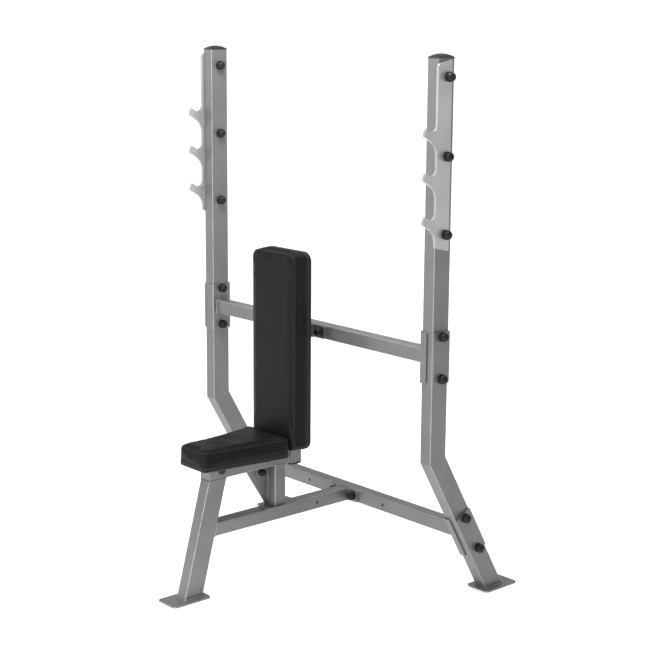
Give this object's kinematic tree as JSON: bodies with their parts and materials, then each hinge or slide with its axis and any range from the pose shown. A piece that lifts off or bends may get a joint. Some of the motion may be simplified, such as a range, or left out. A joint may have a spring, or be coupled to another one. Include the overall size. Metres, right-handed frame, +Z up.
{
  "type": "olympic bench press",
  "caption": "Shoulder-press style Olympic bench: tapered seat and upright back pad on a steel spine, bolted between tall uprights that carry stepped hooks for a barbell.",
  "frame": {"origin": "on the floor, under the middle of the footprint of the three foot plates", "axes": "+Z up; the bench faces -Y, so a seated user looks along -Y; +X is on the viewer's right when looking at the front along +Y"},
  "size_m": [1.325, 1.0916, 1.895],
  "materials": {
    "frame_paint": "grey metallic powder coat, semi-gloss",
    "hook_paint": "silver-grey textured powder coat",
    "tube_end_cap": "black moulded plastic, glossy",
    "bolt_cap": "black soft plastic, satin",
    "upholstery": "black vinyl with a fine grain",
    "pad_board": "dark stained plywood",
    "zinc_fastener": "zinc plated"
  },
  "bodies": {
    "root": {"back_board": "pad_board", "back_cushion": "upholstery", "back_mount_plate": "frame_paint", "back_pad_bolts": "zinc_fastener", "back_post": "frame_paint", "back_post_caps": "tube_end_cap", "back_stub": "frame_paint", "bracket_bolts": "zinc_fastener", "bracket_caps": "bolt_cap", "bracket_nuts": "zinc_fastener", "bracket_washers": "zinc_fastener", "front_foot_plate": "frame_paint", "front_leg": "frame_paint", "gusset_bolts": "zinc_fastener", "gusset_caps": "bolt_cap", "gusset_nuts": "zinc_fastener", "gusset_washers": "zinc_fastener", "hook_bolts": "zinc_fastener", "hook_caps": "bolt_cap", "hook_nuts": "zinc_fastener", "hook_plate_left": "hook_paint", "hook_plate_right": "hook_paint", "hook_washers": "zinc_fastener", "lower_crossmember": "frame_paint", "lower_saddle_left": "frame_paint", "lower_saddle_right": "frame_paint", "lower_side_plate_left": "frame_paint", "lower_side_plate_right": "frame_paint", "mount_bolts": "zinc_fastener", "mount_caps": "bolt_cap", "mount_nuts": "zinc_fastener", "mount_washers": "zinc_fastener", "post_base_plate": "frame_paint", "rail_tab": "frame_paint", "rear_foot_plate_left": "frame_paint", "rear_foot_plate_right": "frame_paint", "rear_leg_left": "frame_paint", "rear_leg_right": "frame_paint", "seat_board": "pad_board", "seat_bolt_caps": "bolt_cap", "seat_bolts": "zinc_fastener", "seat_cushion": "upholstery", "seat_gusset": "frame_paint", "seat_plate_front": "frame_paint", "seat_plate_rear": "frame_paint", "seat_post": "frame_paint", "seat_rail": "frame_paint", "seat_rail_end_plates": "frame_paint", "spine_flange": "frame_paint", "spine_tube": "frame_paint", "upper_crossmember": "frame_paint", "upper_saddle_left": "frame_paint", "upper_saddle_right": "frame_paint", "upper_side_plate_left": "frame_paint", "upper_side_plate_right": "frame_paint", "upright_cap_left": "tube_end_cap", "upright_cap_right": "tube_end_cap", "upright_left": "frame_paint", "upright_right": "frame_paint"}
  },
  "joints": []
}
